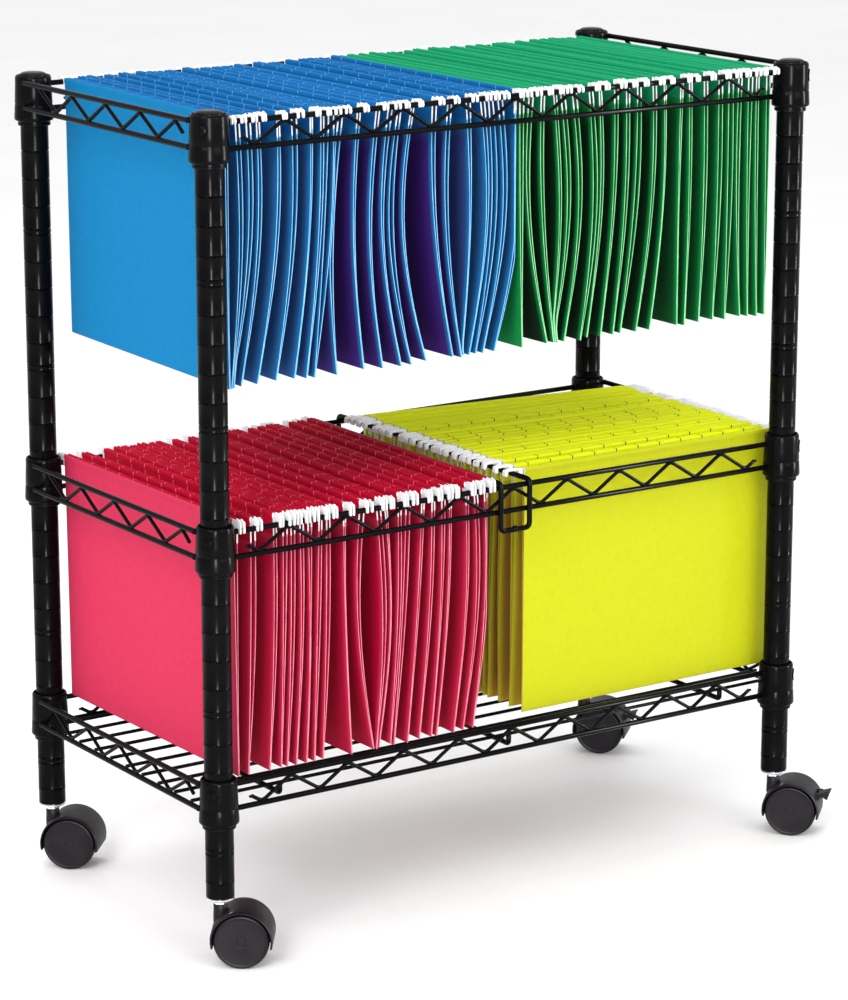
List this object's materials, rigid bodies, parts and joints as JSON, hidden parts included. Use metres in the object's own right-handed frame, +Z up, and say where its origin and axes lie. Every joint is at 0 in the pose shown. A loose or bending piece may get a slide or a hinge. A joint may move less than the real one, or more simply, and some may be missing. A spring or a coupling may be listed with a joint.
{
  "type": "rolling hanging file rack",
  "caption": "Two-tier rolling wire rack for hanging files, with grooved tube posts, clipped truss frames, a bottom wire shelf, a divider loop and swivel casters.",
  "frame": {"origin": "on the floor, under the centre of the bounding box", "axes": "+X to the right of the rack along its long side, +Y to the back, +Z up"},
  "size_m": [0.6998, 0.3814, 0.758],
  "materials": {
    "powder_coated_steel": "satin",
    "black_plastic": "satin",
    "caster_plastic": "matte",
    "plated_steel": "polished",
    "blue_card": "matte",
    "green_card": "matte",
    "red_card": "matte",
    "yellow_card": "matte"
  },
  "bodies": {
    "frame": {"post_front_left": "powder_coated_steel", "post_cap_front_left": "black_plastic", "caster_stem_front_left": "plated_steel", "sleeve_top_front_left": "black_plastic", "sleeve_middle_front_left": "black_plastic", "sleeve_bottom_front_left": "black_plastic", "post_front_right": "powder_coated_steel", "post_cap_front_right": "black_plastic", "caster_stem_front_right": "plated_steel", "sleeve_top_front_right": "black_plastic", "sleeve_middle_front_right": "black_plastic", "sleeve_bottom_front_right": "black_plastic", "post_back_left": "powder_coated_steel", "post_cap_back_left": "black_plastic", "caster_stem_back_left": "plated_steel", "sleeve_top_back_left": "black_plastic", "sleeve_middle_back_left": "black_plastic", "sleeve_bottom_back_left": "black_plastic", "post_back_right": "powder_coated_steel", "post_cap_back_right": "black_plastic", "caster_stem_back_right": "plated_steel", "sleeve_top_back_right": "black_plastic", "sleeve_middle_back_right": "black_plastic", "sleeve_bottom_back_right": "black_plastic", "front_truss_top": "powder_coated_steel", "back_truss_top": "powder_coated_steel", "left_frame_top": "powder_coated_steel", "right_frame_top": "powder_coated_steel", "front_truss_middle": "powder_coated_steel", "back_truss_middle": "powder_coated_steel", "left_frame_middle": "powder_coated_steel", "right_frame_middle": "powder_coated_steel", "front_truss_bottom": "powder_coated_steel", "back_truss_bottom": "powder_coated_steel", "left_frame_bottom": "powder_coated_steel", "right_frame_bottom": "powder_coated_steel", "shelf_grid": "powder_coated_steel"},
    "caster_front_left": {"caster_hood_front_left": "caster_plastic", "caster_axle_front_left": "plated_steel"},
    "wheel_near_front_left": {"wheel_near_front_left": "caster_plastic"},
    "wheel_far_front_left": {"wheel_far_front_left": "caster_plastic"},
    "caster_front_right": {"caster_hood_front_right": "caster_plastic", "caster_axle_front_right": "plated_steel"},
    "wheel_near_front_right": {"wheel_near_front_right": "caster_plastic"},
    "wheel_far_front_right": {"wheel_far_front_right": "caster_plastic"},
    "brake_front_right": {"brake_lever_front_right": "caster_plastic"},
    "caster_back_left": {"caster_hood_back_left": "caster_plastic", "caster_axle_back_left": "plated_steel"},
    "wheel_near_back_left": {"wheel_near_back_left": "caster_plastic"},
    "wheel_far_back_left": {"wheel_far_back_left": "caster_plastic"},
    "caster_back_right": {"caster_hood_back_right": "caster_plastic", "caster_axle_back_right": "plated_steel"},
    "wheel_near_back_right": {"wheel_near_back_right": "caster_plastic"},
    "wheel_far_back_right": {"wheel_far_back_right": "caster_plastic"},
    "brake_back_right": {"brake_lever_back_right": "caster_plastic"},
    "divider": {"divider": "powder_coated_steel"},
    "blue_folders": {"blue_folders": "blue_card"},
    "green_folders": {"green_folders": "green_card"},
    "red_folders": {"red_folders": "red_card"},
    "yellow_folders": {"yellow_folders": "yellow_card"}
  },
  "joints": [
    {"name": "swivel_front_left", "type": "hinge", "parent": "frame", "child": "caster_front_left", "pos_m": [-0.33013, -0.14097, 0.0545], "axis": [0, 0, 1], "continuous": true},
    {"name": "spin_near_front_left", "type": "hinge", "parent": "caster_front_left", "child": "wheel_near_front_left", "pos_m": [-0.31436, -0.15243, 0.025], "axis": [0.5878, 0.809, 0], "continuous": true},
    {"name": "spin_far_front_left", "type": "hinge", "parent": "caster_front_left", "child": "wheel_far_front_left", "pos_m": [-0.31436, -0.15243, 0.025], "axis": [0.5878, 0.809, 0], "continuous": true},
    {"name": "swivel_front_right", "type": "hinge", "parent": "frame", "child": "caster_front_right", "pos_m": [0.30187, -0.14097, 0.0545], "axis": [0, 0, 1], "continuous": true},
    {"name": "spin_near_front_right", "type": "hinge", "parent": "caster_front_right", "child": "wheel_near_front_right", "pos_m": [0.31504, -0.15535, 0.025], "axis": [0.7373, 0.6756, 0], "continuous": true},
    {"name": "spin_far_front_right", "type": "hinge", "parent": "caster_front_right", "child": "wheel_far_front_right", "pos_m": [0.31504, -0.15535, 0.025], "axis": [0.7373, 0.6756, 0], "continuous": true},
    {"name": "brake_front_right", "type": "hinge", "parent": "caster_front_right", "child": "brake_front_right", "pos_m": [0.33329, -0.17527, 0.03937], "axis": [0.7373, 0.6756, 0], "range_deg": [0, 18]},
    {"name": "swivel_back_left", "type": "hinge", "parent": "frame", "child": "caster_back_left", "pos_m": [-0.33013, 0.17003, 0.0545], "axis": [0, 0, 1], "continuous": true},
    {"name": "spin_near_back_left", "type": "hinge", "parent": "caster_back_left", "child": "wheel_near_back_left", "pos_m": [-0.31564, 0.15698, 0.025], "axis": [0.6691, 0.7431, 0], "continuous": true},
    {"name": "spin_far_back_left", "type": "hinge", "parent": "caster_back_left", "child": "wheel_far_back_left", "pos_m": [-0.31564, 0.15698, 0.025], "axis": [0.6691, 0.7431, 0], "continuous": true},
    {"name": "swivel_back_right", "type": "hinge", "parent": "frame", "child": "caster_back_right", "pos_m": [0.30187, 0.17003, 0.0545], "axis": [0, 0, 1], "continuous": true},
    {"name": "spin_near_back_right", "type": "hinge", "parent": "caster_back_right", "child": "wheel_near_back_right", "pos_m": [0.31504, 0.15565, 0.025], "axis": [0.7373, 0.6756, 0], "continuous": true},
    {"name": "spin_far_back_right", "type": "hinge", "parent": "caster_back_right", "child": "wheel_far_back_right", "pos_m": [0.31504, 0.15565, 0.025], "axis": [0.7373, 0.6756, 0], "continuous": true},
    {"name": "brake_back_right", "type": "hinge", "parent": "caster_back_right", "child": "brake_back_right", "pos_m": [0.33329, 0.13573, 0.03937], "axis": [0.7373, 0.6756, 0], "range_deg": [0, 18]},
    {"name": "divider_slide", "type": "slide", "parent": "frame", "child": "divider", "axis": [1, 0, 0], "range_m": [-0.003, 0.003]},
    {"name": "blue_lift", "type": "slide", "parent": "frame", "child": "blue_folders", "axis": [0, 0, 1], "range_m": [0, 0.26]},
    {"name": "green_lift", "type": "slide", "parent": "frame", "child": "green_folders", "axis": [0, 0, 1], "range_m": [0, 0.26]},
    {"name": "red_lift", "type": "slide", "parent": "frame", "child": "red_folders", "axis": [0, 0, 1], "range_m": [0, 0.1]},
    {"name": "yellow_lift", "type": "slide", "parent": "frame", "child": "yellow_folders", "axis": [0, 0, 1], "range_m": [0, 0.1]}
  ]
}
